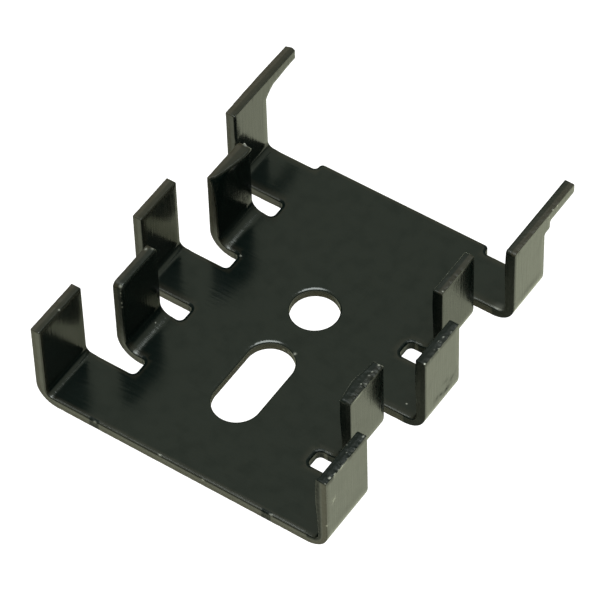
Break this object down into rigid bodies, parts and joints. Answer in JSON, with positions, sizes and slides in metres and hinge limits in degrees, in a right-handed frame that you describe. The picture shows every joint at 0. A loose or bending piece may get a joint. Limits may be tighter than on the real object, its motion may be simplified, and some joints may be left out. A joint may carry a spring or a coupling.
{
  "type": "bolt-on transistor heat sink",
  "caption": "Folded sheet heat sink for a bolted transistor: flat base with a screw hole and a screw slot, staggered upright cooling fingers and board pins.",
  "frame": {"origin": "middle of the round screw hole on the plate's underside", "axes": "+Z the way the fingers stand, +Y the way the board pins point, +X towards the right-hand row of fingers"},
  "size_m": [0.0248, 0.032, 0.0078],
  "materials": {
    "black_anodised_sheet": "black anodised, satin"
  },
  "bodies": {
    "root": {"folded_heat_sink": "black_anodised_sheet"}
  },
  "joints": []
}
